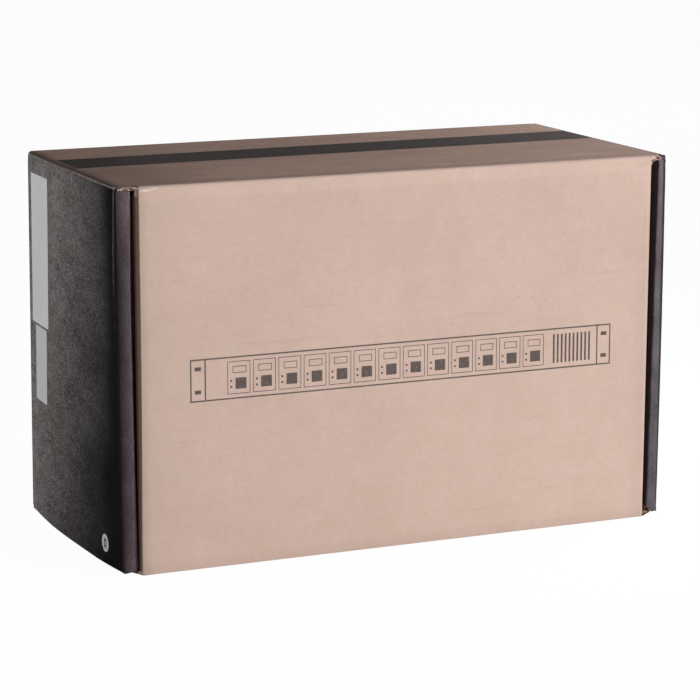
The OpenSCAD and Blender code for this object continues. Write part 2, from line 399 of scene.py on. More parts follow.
def rack_drawing(f):
    """Mask of a generic rack unit seen from the front, drawn in one ink."""
    x, z = f.x - 173.9, f.z - 108.7
    half_x, half_z, line = 132.5, 12.2, 0.42
    bay_width, bays_half = 15.4, 6.5 * 15.4
    cell = (x + (11 + bays_half)).repeat(bay_width) - bay_width / 2
    cells = ring(cell, z, 6.9, 9.4, line)
    port = cover(inside(cell, 1.2, 3.3), inside(z, -3.4, 3.2))
    lamps = cover(inside(cell, -4.6, 0.6), inside(abs(z + 3.4), 1.7, 0.6))
    socket = ring(cell - 0.4, z - 4.6, 4.1, 2.0, line)
    cells = cells.most(port).most(lamps).most(socket) * cover(inside(x, -11, bays_half))
    ears = cover(inside(abs(x), half_x - 9, line), inside(z, 0, half_z))
    holes = cover(inside(abs(x), half_x - 4.6, 1.9), inside(abs(z), 6.6, 1.1))
    grille = cover(inside(x, 106, 13), inside(z, 0, 8.6), inside(x.repeat(2.6), 1.3, 0.62))
    return ring(x, z, half_x, half_z, 2 * line).most(ears).most(holes).most(cells).most(grille)


def kraft_top(name):
    """Kraft paper of the back wall, with its full-width dark band, painted shade towards its ends and
    painted light towards its front and its right rear.
    """
    colour = tinted(palette().kraft, 1.0, 0.91, 0.87)
    f, height = kraft_paper(name, colour, Y, roughness=0.72, specular=0.22)
    # Painted shade: darker at the left end and at the right front; painted highlight at the right rear
    ends = f.x.step(90, 10) * (f.y.step(100, 60) * 0.13 + 0.17) \
        + f.x.step(270, 330) * (f.y.step(120, 70) * 0.26 - 0.11)
    streaks, rough = f.grain(150, (0.12, 1, 1)), f.grain(420, (1, 0.35, 1))
    mottle = f.grain(45, (0.5, 1, 1), detail=4.0)
    # Painted light: the tone is lighter towards the front
    f.shade(1.03 + f.y.step(88, 4) * 0.19 - ends + streaks.swing(0.42) + mottle.swing(0.30)
            + rough.swing(0.34))
    dirty = f.x.step(75, 6) * f.y.step(110, 50) * (rough + streaks - 0.5).clamp()
    f.paint(dirty * 0.5, (0.27, 0.165, 0.125))
    f.paint(f.y.step(17, 6) * 0.35, (0.37, 0.235, 0.185))
    slant, ragged = f.y - f.x * 0.0145, f.grain(420, (0.4, 1, 1)).swing(0.5)
    band = cover(slant + ragged - 81.8, 120.2 - slant + ragged, f.x + ragged - 4.2, soft=0.3)
    worn = 1 - f.grain(700, (1, 0.3, 1), detail=4.0).step(0.60, 0.80) * 0.22
    # Painted sheen and shade on the band: darker at the left end and in the middle, brighter towards the
    # right
    sheen = 0.58 + f.x.step(15, 60) * 0.34 - f.x.step(50, 150) * 0.30 + f.x.step(180, 320) * 0.62
    f.paint(band * worn * 0.97, f.scaled(palette().ink, sheen))
    # Painted shade on the rounded left end: brown, then dark brown at the very end, with a ragged edge
    shaded_end_x = f.x + f.grain(300, (1, 0.4, 1)).swing(2.4)
    f.paint(shaded_end_x.step(10, 3) * 0.35, (0.20, 0.125, 0.085))
    f.paint(shaded_end_x.step(4.4, 1.6) * 0.75, (0.075, 0.045, 0.036))
    side_bleed(f, f.aside, 1.5)
    return f.finish(height)


def dark_print(name, worn_fold):
    """Full dark print on kraft, grey towards the base from rubbing and a painted sheen, and worn light near
    its front fold.
    """
    f = Finish(name, palette().dark, roughness=0.75, specular=0.10)
    clouds = f.grain(150, (1, 0.4, 1), detail=4.0, roughness=0.6)
    grit = f.grain(950, (1, 0.36, 1), roughness=0.7)
    strokes = f.grain(330, (1, 0.6, 0.7))
    flecks = f.grain(1300, (1, 0.4, 1), detail=2.0).step(0.51, 0.66)
    wide = f.grain(24, (1, 0.6, 1), detail=2.0)
    # Painted sheen with rubbing: the print turns grey towards the base and stays dark near the front
    rubbed_and_sheen = ((f.y + f.rise.swing(62) + wide.swing(45) + 4) / 150).clamp()
    rubbed_and_sheen = rubbed_and_sheen * (f.y - f.rise.step(0.72, 1.0) * 5).step(3, 29) * (0.85 + rubbed_and_sheen * 0.70)
    local = (0.41 + clouds.swing(0.7) + grit.swing(1.0) + strokes.swing(0.5) + flecks * 0.55).clamp()
    f.paint(rubbed_and_sheen * local, palette().haze)
    brown = f.grain(55, (1, 0.6, 0.5), detail=4.0).step(0.46, 0.66) * rubbed_and_sheen * f.y.step(40, 110)
    f.paint(brown * 0.26, (0.135, 0.088, 0.066))
    f.paint(f.specks(330, 0.10) * 0.5 * rubbed_and_sheen, palette().haze)
    bars = cover((f.z + 0.6).repeat(3.6) - 1.9, inside(f.z, 28, 7.4), inside(f.y, 142, 7), soft=0.3)
    f.paint(bars * 0.35, (0.21, 0.13, 0.10))
    wave = f.grain(60, (1, 1, 0.6)).swing(3.5) + f.grain(300).swing(1.6)
    fade = (f.rise + clouds.swing(0.6)).step(0.60, 0.95)
    crease = cover(inside(f.y + wave, 4.4, 0.8), soft=1.1) * fade
    f.paint(crease * worn_fold, (0.17, 0.155, 0.15))
    rim = (f.z + f.grain(260, (1, 1, 0.4)).swing(1.6)).step(218.0, 218.5)
    f.paint(rim * 0.9, f.mix(f.y.step(60, 110), (0.34, 0.29, 0.27), (0.11, 0.085, 0.075)))
    return f.finish(grit * 0.4 + strokes * 0.6, depth=0.12)


def spine_print(name):
    """Dark print on the rolled-over strips, with a purple cast, soft pressed marks and painted light and
    shade across them and at their edges.
    """
    f = Finish(name, None, roughness=0.6, specular=0.04)
    clouds = f.grain(120, (1, 1, 0.45), detail=4.0, roughness=0.6)
    fibres = f.grain(1300, (1.3, 1, 0.4))
    blue, on_right = f.grain(30).step(0.4, 0.65) * 0.5, f.aside.step(-1, 1)
    # Painted light and shade across the strips: the left one lighter towards its inner edge, both lighter
    # towards the top
    rising = (f.x / LEFT_SPINE).clamp() * 1.35 + 0.17 + f.rise.step(0.78, 1.0) * 0.5
    left = f.scaled(f.mix(blue, (0.072, 0.053, 0.060), (0.066, 0.055, 0.068)), rising)
    right = f.scaled(f.mix(blue, (0.108, 0.092, 0.104), (0.104, 0.098, 0.115)), 0.86 + f.rise * f.rise * 0.5)
    f.colour = f.mix(on_right, left, right)
    f.shade(1.1 + clouds.swing(1.3) + fibres.swing(1.6))
    # Painted shade, near black: the outer fold, the right spine's inner part beside the lid, the left
    # spine's inner edge and the faces turning in
    outer = abs(f.aside).step(BOX_RIGHT / MM - 0.45, BOX_RIGHT / MM - 0.05)
    gap = f.x - RIGHT_SPINE + clouds.swing(1.2)
    right_gap_shade = (gap - (f.rise * 3.4 + 2.3)).step(0.9, -0.7) * on_right
    left_edge_shade = (f.x - LEFT_SPINE).step(-1.4, -0.3) * (1 - on_right)
    painted_shade = right_gap_shade.most(left_edge_shade * 0.8).most(outer * 0.75).most(f.y.step(0.4, 1.6))
    f.paint(painted_shade, (0.0145, 0.0080, 0.0080))
    return f.finish(clouds * 0.6 + fibres * 0.4, depth=0.25)


def gap_paper(name):
    """Paper of a lid ear: painted shade and shadow at its crease, bare kraft further in."""
    f, height = kraft_paper(name, palette().kraft, Z, roughness=0.85, specular=0.1)
    high = f.z.step(150, 214)
    # Painted shade and shadow on the ear's face seen through the gap: brown at the crease, near black deeper
    # in, browner towards the top
    f.paint(f.y.step(16, 9) * 0.6, (0.17, 0.105, 0.08))
    gap_shadow = (f.y - high * 1.7).step(2.0, 3.4) * f.y.step(15, 9)
    f.paint(gap_shadow * 0.93, f.mix(high, (0.020, 0.013, 0.012), (0.105, 0.072, 0.060)))
    return f.finish(height)


def torn_paper(name):
    """Pale fibres of torn paper."""
    f = Finish(name, (0.20, 0.14, 0.11), roughness=0.9, specular=0.1)
    fibres = f.grain(1500, (0.4, 1, 1), detail=4.0)
    f.paint(fibres.step(0.40, 0.62), palette().torn)
    return f.finish(fibres, depth=0.2)


def label_paper(name, colour):
    """Smooth white label paper, a little grey and clouded."""
    f = Finish(name, colour, roughness=0.5, specular=0.4)
    fibres = f.grain(1800, (1, 1, 0.5), detail=2.0)
    f.shade(1 + f.grain(60).swing(0.08) + fibres.swing(0.04))
    return f.finish(fibres, depth=0.03)


def seal_paper(name):
    """White round seal with a plain pattern of bars."""
    f = Finish(name, (0.74, 0.745, 0.78), roughness=0.5, specular=0.4)
    low, high = node_box("round_seal")
    middle = in_box((low + high) / 2)
    fibres = f.grain(1800, detail=2.0)
    f.shade(1 + fibres.swing(0.06))
    y, z = f.y - middle.y, f.z - middle.z
    bars = cover(inside(z, 0, 3.0), inside(abs(y), 1.25, 0.62))
    dots = cover(inside(abs(z), 1.6, 0.5), inside(y, 0, 1.9))
    f.paint(bars.most(dots), (0.03, 0.03, 0.035))
    return f.finish(fibres, depth=0.03)


def fluted_paper(name):
    """Rough brown paper between the liners."""
    f = Finish(name, palette().flute, roughness=0.9, specular=0.15)
    fibres = f.grain(1200)
    f.shade(0.75 + fibres * 0.5)
    # Painted shade in the lower left front corner beside the lid
    shade_lower_left_corner(f)
    return f.finish(fibres)


def cell_foam(name):
    """White polyethylene foam with closed cells and a soft cut skin."""
    f = Finish(name, palette().foam, roughness=0.75, specular=0.3)
    cells = f.node("TexVoronoi", {"feature": "SMOOTH_F1"}, Vector=f.place, Scale=520.0)
    coarse = f.grain(140)
    f.shade(0.88 + cells * 0.22 + coarse.swing(0.10))
    f.shader.inputs["Subsurface Weight"].default_value = 0.15
    f.shader.inputs["Subsurface Radius"].default_value = (2 * MM, 2 * MM, 2 * MM)
    return f.finish(cells * 0.8 + coarse * 0.4, depth=0.5, strength=0.5)


def make_looks():
    """Every finish of the carton, by its name."""
    kraft, inner, paper = palette().kraft, palette().inside, palette().paper
    return {
        "kraft_lid": kraft_lid("kraft_lid"),
        "kraft_top": kraft_top("kraft_top"),
        "kraft_y": kraft_plain("kraft_plain_y", kraft, Y),
        "kraft_z": kraft_plain("kraft_plain_z", kraft, Z),
        "base": kraft_plain("kraft_base", kraft, Z, bleed=3),
        # The front wall's outer paper is kraft darkened to a quarter: painted shade on a face turned to the
        # floor
        "front": kraft_plain("kraft_front", tinted(kraft, 0.25, 0.25, 0.25), Y, bleed=7.4),
        "inside_y": kraft_plain("kraft_inside_y", inner, Y),
        "inside_z": kraft_plain("kraft_inside_z", inner, Z),
        "flute": fluted_paper("fluted_paper"),
        "dark_left": dark_print("dark_print_left", worn_fold=0.85),
        "dark_right": dark_print("dark_print_right", worn_fold=0.3),
        "gap": gap_paper("gap_paper"),
        "torn": torn_paper("torn_paper"),
        "spine": spine_print("dark_print_spine"),
        "label_large": label_paper("label_paper_large", tinted(paper, 1.13, 1.13, 1.13)),
        "label_small": label_paper("label_paper_small", paper),
        "seal": seal_paper("seal_paper"),
        "foam": cell_foam("cell_foam"),
    }


# Papers and boards

def run_of(edge):
    """Way from one end of an edge to the other."""
    return edge.verts[1].co - edge.verts[0].co


def divide(bm, step):
    """Cuts the edges that lie along an axis into lengths no longer than a step."""
    for axis in (X, Y, Z):
        groups = {}
        for edge in bm.edges:
            run = run_of(edge)
            if abs(run[axis]) > 0.999 * run.length and run.length > step:
                groups.setdefault(round(run.length, 6), []).append(edge)
        for size, edges in groups.items():
            cuts = math.ceil(size / step) - 1
            bmesh.ops.subdivide_edges(bm, edges=edges, cuts=cuts, use_grid_fill=True)


def cut(bm, point, normal, geom=None, **options):
    """Cuts a mesh or a part of it along a plane."""
    geom = geom or bm.verts[:] + bm.edges[:] + bm.faces[:]
    return bmesh.ops.bisect_plane(bm, geom=geom, plane_co=point, plane_no=normal, **options)


def clear_window(bm, low, high, axes):
    """Removes the part of a sheet inside a window that is given along two axes."""
    for axis in axes:
        for place in (low[axis], high[axis]):
            cut(bm, AXES[axis] * place, AXES[axis])
    gone = [f for f in bm.faces
            if all(low[a] < f.calc_center_median()[a] < high[a] for a in axes)]
    bmesh.ops.delete(bm, geom=gone, context="FACES")


def rounded(bm, geom, radius, segments=5, affect="EDGES"):
    """Rounds edges or corners over."""
    bmesh.ops.bevel(bm, geom=geom, offset=radius, offset_type="OFFSET", segments=segments, profile=0.5,
                    affect=affect, material=-1)
    bm.normal_update()


def shift(bm, geom, way):
    """Moves the corners among the given geometry."""
    moved = [g for g in geom if isinstance(g, bmesh.types.BMVert)]
    bmesh.ops.translate(bm, verts=moved, vec=way)


def draw_out(bm, way):
    """Draws all edges of a line out into faces."""
    shift(bm, bmesh.ops.extrude_edge_only(bm, edges=bm.edges[:])["geom"], way)
    bmesh.ops.recalc_face_normals(bm, faces=bm.faces)


def face_along(bm, face, way):
    """Turns a sheet over where one of its faces looks against a direction."""
    if face.normal.dot(way) < 0:
        bmesh.ops.reverse_faces(bm, faces=bm.faces)


def block(low, high):
    """Mesh of a box."""
    bm = bmesh.new()
    bmesh.ops.create_cube(bm, size=1.0)
    bmesh.ops.scale(bm, verts=bm.verts, vec=high - low)
    shift(bm, bm.verts, (low + high) / 2)
    bm.normal_update()
    return bm


def turned_sheet(low, high, axis, side, rims, step):
    """Paper over one face of a box, rounded over at the rims where the panel folds."""
    bm = block(low, high)
    outer = AXES[axis] * side
    kept = [outer] + [AXES[a] * s for a, s, _ in rims]
    gone = [f for f in bm.faces if not any(f.normal.dot(k) > 0.9 for k in kept)]
    bmesh.ops.delete(bm, geom=gone, context="FACES")
    for turned, end, radius in rims:
        folds = [e for e in bm.edges if len(e.link_faces) == 2
                 and any(f.normal.dot(outer) > 0.9 for f in e.link_faces)
                 and any(f.normal.dot(AXES[turned] * end) > 0.9 for f in e.link_faces)]
        rounded(bm, folds, radius)
    divide(bm, step)
    return bm


def grid(low, high, axis, across, along_steps, across_steps):
    """Even grid across a box at its middle."""
    along = 3 - axis - across
    size = high - low
    bm = bmesh.new()
    bmesh.ops.create_grid(bm, x_segments=max(1, along_steps), y_segments=max(1, across_steps), size=0.5)
    turn = Matrix((AXES[along] * size[along], AXES[across] * size[across], AXES[axis])).transposed()
    bmesh.ops.transform(bm, matrix=Matrix.Translation((low + high) / 2) @ turn.to_4x4(), verts=bm.verts)
    bm.normal_update()
    return bm


def flat_sheet(low, high, axis, side, step):
    """Flat paper across a box at its middle, facing the given side of an axis."""
    u, v = [a for a in (X, Y, Z) if a != axis]
    size = high - low
    bm = grid(low, high, axis, v, math.ceil(size[u] / step), math.ceil(size[v] / step))
    face_along(bm, bm.faces[:][0], AXES[axis] * side)
    return bm


def fluted_sheet(low, high, axis, across, height):
    """The wavy paper between two liners, with its waves running across one axis."""
    board = bpy.context.scene.carton_board
    size = high - low
    waves = max(2, math.ceil(size[across] / board.pitch * board.flute_steps))
    bm = grid(low, high, axis, across, math.ceil(size[3 - axis - across] / (30 * MM)), waves)
    for v in bm.verts:
        v.co[axis] += height * math.sin(2 * math.pi * v.co[across] / board.pitch)
    bm.normal_update()
    return bm


def folded_sheet(points, along, ends, radius, outward, step):
    """Paper along a line of corner points, rounded where it turns and drawn out along an axis."""
    start, end = ends
    bm = bmesh.new()
    line = [bm.verts.new(p + AXES[along] * (start - p[along])) for p in points]
    for pair in zip(line, line[1:]):
        bm.edges.new(pair)
    if len(points) > 2:
        rounded(bm, line[1:-1], radius, 6, "VERTICES")
    draw_out(bm, AXES[along] * (end - start))
    face_along(bm, min(bm.faces, key=lambda f: (f.calc_center_median() - points[0]).length), outward)
    divide(bm, step)
    return bm


def placed(name, data):
    """New object at the origin."""
    thing = bpy.data.objects.new(name, data)
    bpy.context.scene.collection.objects.link(thing)
    return thing


class Stack:
    """Papers that are gathered into one piece."""

    def __init__(self):
        self.bm, self.looks = bmesh.new(), []

    def add(self, sheet, look, thickness, trims=(), windows=()):
        """Trims an open sheet, gives it its thickness and puts it on the stack."""
        for point, normal in trims:
            cut(sheet, point, normal, clear_outer=True)
        for low, high, axes in windows:
            clear_window(sheet, low, high, axes)
        if thickness:
            bmesh.ops.solidify(sheet, geom=sheet.faces[:], thickness=thickness)
        if look not in self.looks:
            self.looks.append(look)
        for face in sheet.faces:
            face.material_index = self.looks.index(look)
            face.smooth = True
        mesh = bpy.data.meshes.new("sheet")
        sheet.to_mesh(mesh)
        sheet.free()
        self.bm.from_mesh(mesh)
        bpy.data.meshes.remove(mesh)
        return self

    def board(self, low, high, axis, side, across, looks, rims=(), trims=(), windows=(), step=None,
              height=None):
        """A flat panel of corrugated board in a box: outer liner, fluted medium and inner liner."""
        board = bpy.context.scene.carton_board
        step = step or board.mesh_step
        thick = high[axis] - low[axis]
        self.add(turned_sheet(low, high, axis, side, rims, step), looks[0], board.liner, trims, windows)
        inner_low, inner_high = shrunk(low, high, [(a, s, 0.6 * board.liner) for a, s, _ in rims])
        face = AXES[axis] * (thick / 2 * -side)
        inner = flat_sheet(inner_low + face, inner_high + face, axis, -side, step)
        self.add(inner, looks[1], board.liner, trims, windows)
        room = thick / 2 - board.liner - board.medium / 2
        waves = fluted_sheet(*shrunk(low, high, rims), axis, across, height or room)
        shift(waves, waves.verts, AXES[axis] * (board.medium / 2))
        return self.add(waves, "flute", board.medium, trims, windows)

    def fold(self, points, along, ends, radius, outward, look, trims=(), step=None, thickness=None):
        """A paper along a folded line."""
        board = bpy.context.scene.carton_board
        sheet = folded_sheet(points, along, ends, radius, outward, step or board.fold_step)
        return self.add(sheet, look, thickness or board.liner, trims)

    def shape(self, *moves):
        """Moves every point by functions of its place."""
        for move in moves:
            for v in self.bm.verts:
                v.co += move(v.co)
        return self

    def piece(self, name, slot, *nodes):
        """The finished object at the origin, with its mesh in place."""
        self.shape(leaned)
        bmesh.ops.recalc_face_normals(self.bm, faces=self.bm.faces)
        mesh = bpy.data.meshes.new(name)
        self.bm.to_mesh(mesh)
        self.bm.free()
        mesh.set_sharp_from_angle(angle=math.radians(40))
        for look in self.looks:
            mesh.materials.append(LOOKS[look])
        piece = placed(name, mesh)
        if nodes:
            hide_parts(*nodes)
        return piece


def shrunk(low, high, rims):
    """The box with each folded rim drawn in by its own amount."""
    low, high = low.copy(), high.copy()
    for axis, side, amount in rims:
        (high if side > 0 else low)[axis] -= amount * side
    return low, high


# Wear

# One seed, so that every run crumples the corners in the same way
CRUMPLE_SEED = 7
noise.seed_set(CRUMPLE_SEED)

# Worn corners: place, reach and strength
CRUMPLES = (
    (at(4, 0, 214), 11 * MM, 1.3),
    (at(5, 0, 3), 8 * MM, 0.9),
    (at(336, 0, 214), 10 * MM, 1.2),
    (at(336, 0, 3), 9 * MM, 1.0),
    (at(1, 168, 217), 7 * MM, 0.6),
    (at(339, 168, 217), 7 * MM, 0.6),
    (at(1, 168, 1), 6 * MM, 0.6),
    (at(339, 168, 1), 6 * MM, 0.6),
)

# Torn flakes: place and size in millimetres, turn in degrees
TORN_FLAKES = (
    ((3.2, 0.1, 217.5), (5.6, 0.9), (90, 0, 8)),
    ((0.8, 3.6, 218.1), (6.0, 0.9), (70, 0, -80)),
    ((7.6, 0.3, 217.2), (2.6, 0.8), (75, 25, 10)),
    ((9.9, 0.0, 217.6), (2.8, 0.9), (80, -35, 5)),
    ((11.2, -0.1, 218.0), (2.6, 0.7), (85, 20, -8)),
    ((12.3, 0.0, 216.9), (2.2, 0.7), (80, -60, 0)),
)

# Height of a spine's foot, slant of its lower end and height of its top
SPINE_ENDS = {"left": (2.6, 1.2, 216.8), "right": (2.3, 4.9, 215.4)}


def torn_flake(place, size, turn):
    """Small curled sliver of torn paper, with its size in millimetres and its turn in degrees."""
    bm = bmesh.new()
    bmesh.ops.create_grid(bm, x_segments=9, y_segments=3, size=0.5)
    for v in bm.verts:
        curl = 0.45 * (2 * v.co.x) ** 2 + 0.35 * noise.noise(v.co * 7 + place * 900)
        v.co = Vector((v.co.x * size[0], v.co.y * size[1] * (1.1 - abs(v.co.x)), curl)) * MM
    turned = Euler([math.radians(a) for a in turn]).to_matrix().to_4x4()
    bmesh.ops.transform(bm, matrix=Matrix.Translation(place) @ turned, verts=bm.verts)
    bm.normal_update()
    return bm


def rolled_tube(centre, axis, radius, reach):
    """Open paper roll from a point along an axis."""
    bm = bmesh.new()
    turn = AXES[Z].rotation_difference(AXES[axis]).to_matrix().to_4x4()
    bmesh.ops.create_circle(bm, segments=24, radius=radius, matrix=Matrix.Translation(centre) @ turn)
    draw_out(bm, AXES[axis] * reach)
    return bm


def limited(value):
    """The value, kept between zero and one."""
    return min(max(value, 0.0), 1.0)


def crumpled(co):
    """Push of the worn corners at one place, the same for every piece that meets there."""
    amount = bpy.context.scene.carton_board.crumple
    push = Vector()
    for centre, reach, share in CRUMPLES:
        gap = (co - centre).length
        if gap < reach:
            push += noise.noise_vector(co * 420) * (amount * share * (1 - gap / reach) ** 2)
    return push


def crushed(co):
    """The front wall's shoulders beside the lid, squeezed up to a point by wear."""
    x, y, _ = in_box(co)
    share = limited(max((12.0 - x) / 8.0, (x - 331.8) / 4.2)) * max(0.0, 1 - y / 24) ** 0.6
    return Vector((0, 0, (FRONT[1].z - co.z) * share * 0.88))


def bowed(co):
    """Side walls bent a little out of line, the left one with a belly towards its lower edge."""
    x, y, z = in_box(co)
    rise, back, near = limited(z / HEIGHT), limited(y / DEPTH), math.exp(-max(0.0, y) / 32)
    if co.x < 0:
        reach = limited(1 - (x - LEFT_SPINE) / 20)
        front = 0.9 * (1 - rise) ** 4 - 0.9 * math.sin(math.pi * rise ** 2)
        rear = (1.95 * rise - 1.05) * back ** 2
        belly = -2.8 * (1 - rise) ** 1.5 * math.sin(math.pi * back ** 1.6) ** 1.3
        push = front * near + rear + belly
    else:
        reach = limited((x - RIGHT_SPINE) / LEFT_SPINE)
        push = (0.55 + 0.4 * math.sin(math.pi * rise)) * near
    return Vector((push * reach * MM, 0, 0))


def leaned(co):
    """Slight spread of the whole carton upwards and towards its upper right corner."""
    rise = in_box(co).z / HEIGHT
    return Vector((1.1 * max(0.0, co.x / BOX_RIGHT) * rise, 0, max(0.0, rise) ** 2)) * MM


def lifted(co):
    """The side walls' lower edges, worn up towards the front."""
    _, y, z = in_box(co)
    reach = 2.5 if co.x < 0 else 3.5
    return Vector((0, 0, reach * max(0.0, 1 - y / 46) ** 1.5 * max(0.0, 1 - z / 26))) * MM


def pressed(co):
    """The right spine's inner half, pressed in towards the gap beside the lid."""
    x, y, z = in_box(co)
    across = max(0.0, 1 - (x - RIGHT_SPINE) / (3.0 + 1.6 * z / HEIGHT))
    if x < RIGHT_SPINE - 1 or across <= 0:
        return Vector()
    return Vector((0, 2.0 * min(across, 1.0) ** 1.6 * math.exp(-max(0.0, y) / 7), 0)) * MM


def wrinkled(co):
    """Shallow pressed marks along a spine's face."""
    near = max(0.0, 1 - in_box(co).y / 2.5)
    return Vector((0, abs(noise.noise(Vector((co.x * 210, 0, co.z * 70)))) * 0.28 * near, 0)) * MM


def settled(co):
    """Gentle unevenness of the lid's board, nil at its borders."""
    low, high = LID
    free = 0.7 * MM
    for axis in (X, Z):
        free *= math.sin(math.pi * limited((co[axis] - low[axis]) / (high[axis] - low[axis])))
    return Vector((0, (noise.noise(co * 9) * 0.5 + 0.5) * free, 0))


# Operators

def aimed(name, data, place, way):
    """New object at a place, looking along a way."""
    thing = placed(name, data)
    thing.location = place
    thing.rotation_mode = "QUATERNION"
    thing.rotation_quaternion = way.to_track_quat("-Z", "Y")
    return thing


class CARTON_OT_camera(Operator):
    """Places the camera at the photograph's viewing angle"""
    bl_idname = "carton.camera"
    bl_label = "Camera"

    def execute(self, context):
        stage = context.scene.carton_stage
        a, e = stage.azimuth, stage.elevation
        view = Vector((-math.sin(a) * math.cos(e), math.cos(a) * math.cos(e), -math.sin(e)))
        lens = bpy.data.cameras.new("camera")
        lens.sensor_width, lens.lens = 36.0, stage.lens
        lens.clip_start, lens.clip_end = 0.05, 50.0
        context.scene.camera = aimed("camera", lens, stage.eye, view)
        return {"FINISHED"}


class CARTON_OT_base(Operator):
    """Makes the base panel with its folds and lock slots"""
    bl_idname = "carton.base"
    bl_label = "Base panel"

    def execute(self, context):
        low, high = BASE
        play, half, notch = TAB_PLAY * MM, (TAB_HALF + TAB_PLAY) * MM, 2.0 * MM
        spans = []
        for side, _ in SIDES:
            inner = node_box(f"inner_wall_{side}")
            for centre in (at(0, 0, z).z for z in TAB_MIDDLES):
                spans.append((inner[0].x - play, inner[1].x + play, centre - half, centre + half))
        for x0, x1 in ((low.x - OVERRUN, low.x + BOARD_T), (high.x - BOARD_T, high.x + OVERRUN)):
            for z0, z1 in ((low.z - OVERRUN, low.z + notch), (high.z - notch, high.z + OVERRUN)):
                spans.append((x0, x1, z0, z1))
        windows = [(Vector((x0, 0, z0)), Vector((x1, 0, z1)), (X, Z)) for x0, x1, z0, z1 in spans]
        rims = [(axis, end, context.scene.carton_board.base_fold) for axis in (X, Z) for end in (-1, 1)]
        base = Stack().board(low, high, Y, 1, Z, ("base", "inside_z"), rims, windows=windows)
        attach(base.shape(bowed, crumpled).piece("board_base", "kraft_board", "base_panel"), "box")
        return {"FINISHED"}


class CARTON_OT_end_walls(Operator):
    """Makes the front wall and the back wall"""
    bl_idname = "carton.end_walls"
    bl_label = "Front and back wall"

    def execute(self, context):
        board = context.scene.carton_board
        low, high = FRONT
        play, recess_end = 0.4 * MM, at(0, 5.9, 0).y
        recess = (Vector((LID[0].x - play, low.y - OVERRUN, 0)), Vector((LID[1].x + play, recess_end, 0)))
        rims = ((X, -1, board.corner_fold), (X, 1, board.corner_fold))
        front = Stack().board(low, high, Z, -1, Y, ("front", "inside_y"), rims, windows=[(*recess, (X, Y))])
        roll = rolled_tube(at(9.6, 0.3, 1.45), Y, radius=0.95 * MM, reach=4 * MM)
        front.add(roll, "torn", thickness=0.3 * MM)
        front.shape(crushed, bowed, crumpled)
        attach(front.piece("board_front_wall", "kraft_board", "front_wall"), "box")

        set_back = 0.7 * MM
        low = Vector((BOX_LEFT + set_back, at(0, HINGE_END, 0).y, BACK[0].z))
        high = Vector((BOX_RIGHT - set_back, BACK[1].y, BACK[1].z))
        rims = ((X, -1, board.outer_fold), (X, 1, board.outer_fold))
        top = Stack().board(low, high, Z, 1, Y, ("kraft_top", "inside_y"), rims)
        self.torn_end(top, board)
        self.rolled_end(top)
        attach(top.shape(bowed, crumpled).piece("board_back_wall", "kraft_board", "back_wall"), "box")
        return {"FINISHED"}

    def torn_end(self, top, board):
        """Left end of the hinge fold: the outer paper ends over an open core, among torn fibres."""
        start, end = BOX_LEFT + 0.9 * MM, at(LID_CREASE, 0, 0).x
        over = [at(0, HINGE_END, HEIGHT), at(0, 0.3, HEIGHT), at(0, 0.6, 217.9)]
        top.fold(over, X, (start, end), 0.6 * MM, AXES[Z], "kraft_top")
        core = [at(0, HINGE_END, HEIGHT - 1.3), at(0, 1.6, 217.5)]
        top.fold(core, X, (start + 2 * MM, end), MM, AXES[Z], "flute", thickness=board.medium)
        for place, size, turn in TORN_FLAKES:
            top.add(torn_flake(at(*place), size, turn), "torn", thickness=0.12 * MM)

    def rolled_end(self, top):
        """Right end of the hinge fold: the lid's paper curves out and ends in a small open roll."""
        start, end = LID[1].x, BACK[1].x - 0.4 * MM
        flat = [at(0, HINGE_END, HEIGHT), at(0, 2.6, HEIGHT), at(0, 2.4, 217.6)]
        top.fold(flat, X, (start, end), 0.6 * MM, AXES[Z], "kraft_top")
        bend = [at(0, HINGE_END, HEIGHT), at(0, 0, HEIGHT), at(0, 0, 216.2), at(0, 1.8, 215.8)]
        top.fold(bend, X, (start, start + 2.4 * MM), 0.9 * MM, AXES[Z], "kraft_top_lid")
        sweep = [at(330.95, 0, 213.0), at(331.0, 0, 215.9), at(333.7, 0, 216.0)]
        ends = (BOX_FACE, BOX_FACE + 1.4 * MM)
        top.fold(sweep, Y, ends, 2.2 * MM, -AXES[X], "kraft_top_lid", step=0.6 * MM)
        roll = rolled_tube(at(334.7, 0.1, 217.0), Y, radius=1.42 * MM, reach=4.2 * MM)
        top.add(roll, "kraft_top_lid", thickness=0.4 * MM)


class CARTON_OT_corner_flaps(Operator):
    """Makes the four corner flaps between the layers of the side walls"""
    bl_idname = "carton.corner_flaps"
    bl_label = "Corner flaps"

    def execute(self, context):
        taper = 9 * MM
        for wall, up in (("front", 1), ("back", -1)):
            for side, sign in SIDES:
                name = f"{wall}_flap_{side}"
                low, high = node_box(name)
                free = high.z - taper if up > 0 else low.z + taper
                trims = [(Vector((0, y, free)), Vector((0, turn, up)))
                         for y, turn in ((low.y, -1), (high.y, 1))]
                flap = Stack().board(low, high, X, sign, Y, ("kraft_y", "inside_y"), trims=trims)
                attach(flap.shape(bowed).piece("board_" + name, "kraft_inside", name), "box")
        return {"FINISHED"}


